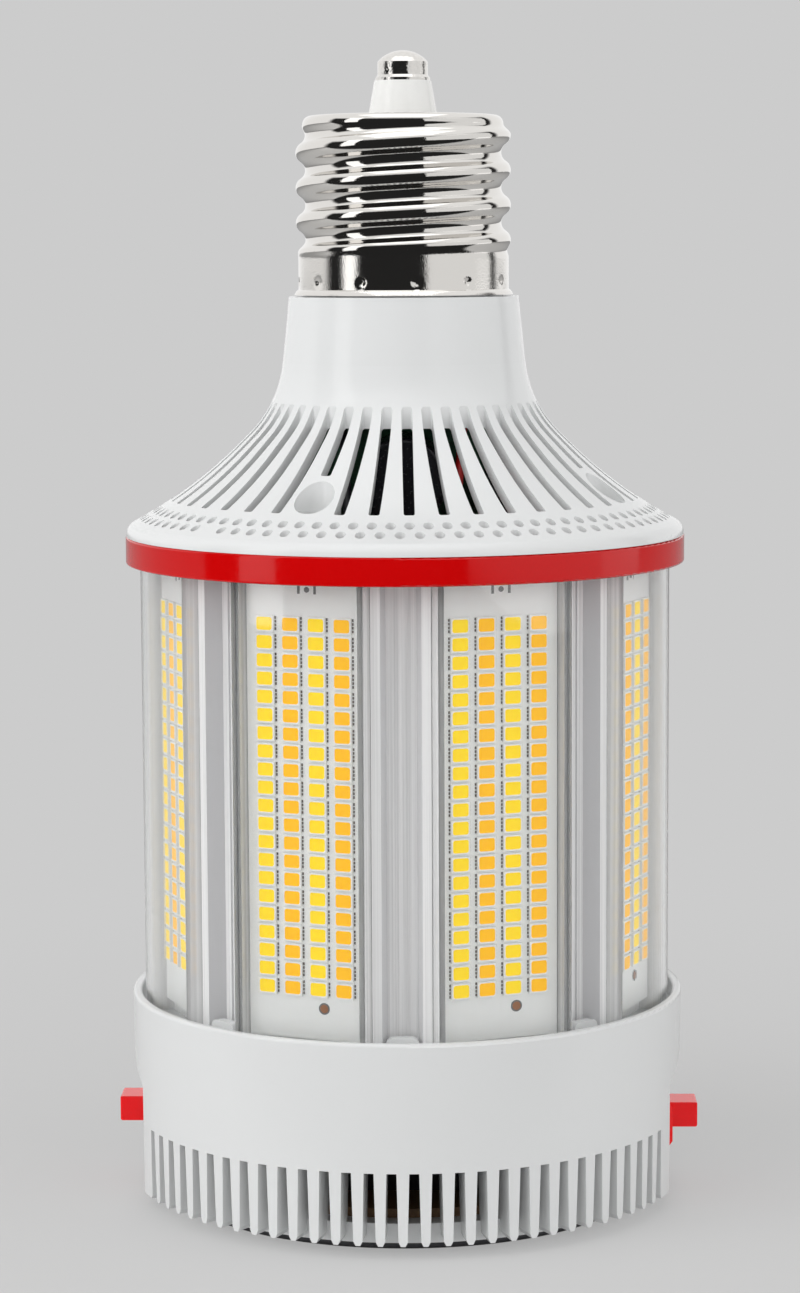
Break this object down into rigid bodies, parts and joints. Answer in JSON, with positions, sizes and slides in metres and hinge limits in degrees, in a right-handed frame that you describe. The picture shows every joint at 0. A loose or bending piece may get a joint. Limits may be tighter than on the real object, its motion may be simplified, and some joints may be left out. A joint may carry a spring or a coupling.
{
  "type": "led retrofit bulb",
  "caption": "Screw-base LED retrofit bulb: slotted trumpet housing, clear covers over LED boards on a heat sink, slatted collar with a cooling fan and red slide selectors.",
  "frame": {"origin": "middle of the lower face of the end plate, on which the lamp stands base up", "axes": "+Z along the lamp's axis towards the screw base, -Y towards the front, selectors on +X and -X"},
  "size_m": [0.1086, 0.1032, 0.2118],
  "materials": {
    "nickel": "bright nickel plate, slightly brushed",
    "insulator_white": "glazed white",
    "white_plastic": "fine gloss moulding",
    "red_plastic": "high gloss",
    "bare_aluminium": "bare extrusion",
    "board_white": "white solder mask",
    "led_phosphor": "phosphor gel in a white case",
    "clear_cover": "clear extruded polycarbonate",
    "dark_plastic": "fine matt texture",
    "black_plastic": "satin",
    "brown_board": "bare laminate",
    "green_board": "solder mask",
    "steel": "zinc plate",
    "capacitor_sleeve": "shrink sleeve",
    "ferrite": "sintered ferrite",
    "filter_case": "moulded case",
    "switch_case": "moulded case",
    "black_wire": "insulation",
    "white_wire": "insulation",
    "red_wire": "insulation"
  },
  "bodies": {
    "lamp": {"centre_contact": "nickel", "base_insulator": "insulator_white", "screw_shell": "nickel", "upper_housing": "white_plastic", "housing_screws": "steel", "trim_ring": "red_plastic", "heat_sink": "bare_aluminium", "lower_collar": "white_plastic", "collar_screws": "steel", "end_plate": "dark_plastic", "control_board": "brown_board", "fan_frame": "black_plastic", "fan_screws": "steel", "driver_bracket": "black_plastic", "driver_board": "green_board", "bulk_capacitor": "capacitor_sleeve", "output_capacitors": "capacitor_sleeve", "transformer": "ferrite", "choke": "ferrite", "filter_capacitor": "filter_case", "contact_lead": "black_wire", "shell_lead": "white_wire", "led_lead_red": "red_wire", "led_lead_black": "black_wire", "control_lead": "white_wire", "led_board_1": "board_white", "led_packages_1": "led_phosphor", "lens_cover_1": "clear_cover", "led_board_2": "board_white", "led_packages_2": "led_phosphor", "lens_cover_2": "clear_cover", "led_board_3": "board_white", "led_packages_3": "led_phosphor", "lens_cover_3": "clear_cover", "led_board_4": "board_white", "led_packages_4": "led_phosphor", "lens_cover_4": "clear_cover", "led_board_5": "board_white", "led_packages_5": "led_phosphor", "lens_cover_5": "clear_cover", "led_board_6": "board_white", "led_packages_6": "led_phosphor", "lens_cover_6": "clear_cover", "led_board_7": "board_white", "led_packages_7": "led_phosphor", "lens_cover_7": "clear_cover", "led_board_8": "board_white", "led_packages_8": "led_phosphor", "lens_cover_8": "clear_cover", "selector_switch_right": "switch_case", "selector_switch_left": "switch_case"},
    "fan": {"fan_rotor": "black_plastic"},
    "selector_right": {"selector_knob_right": "red_plastic", "switch_slider_right": "black_plastic"},
    "selector_left": {"selector_knob_left": "red_plastic", "switch_slider_left": "black_plastic"}
  },
  "joints": [
    {"name": "fan_spin", "type": "hinge", "parent": "lamp", "child": "fan", "pos_m": [0, 0, 0.01], "axis": [0, 0, 1], "continuous": true},
    {"name": "selector_right_slide", "type": "slide", "parent": "lamp", "child": "selector_right", "axis": [0, 1, 0], "range_m": [0, 0.0048]},
    {"name": "selector_left_slide", "type": "slide", "parent": "lamp", "child": "selector_left", "axis": [0, -1, 0], "range_m": [0, 0.0048]}
  ]
}
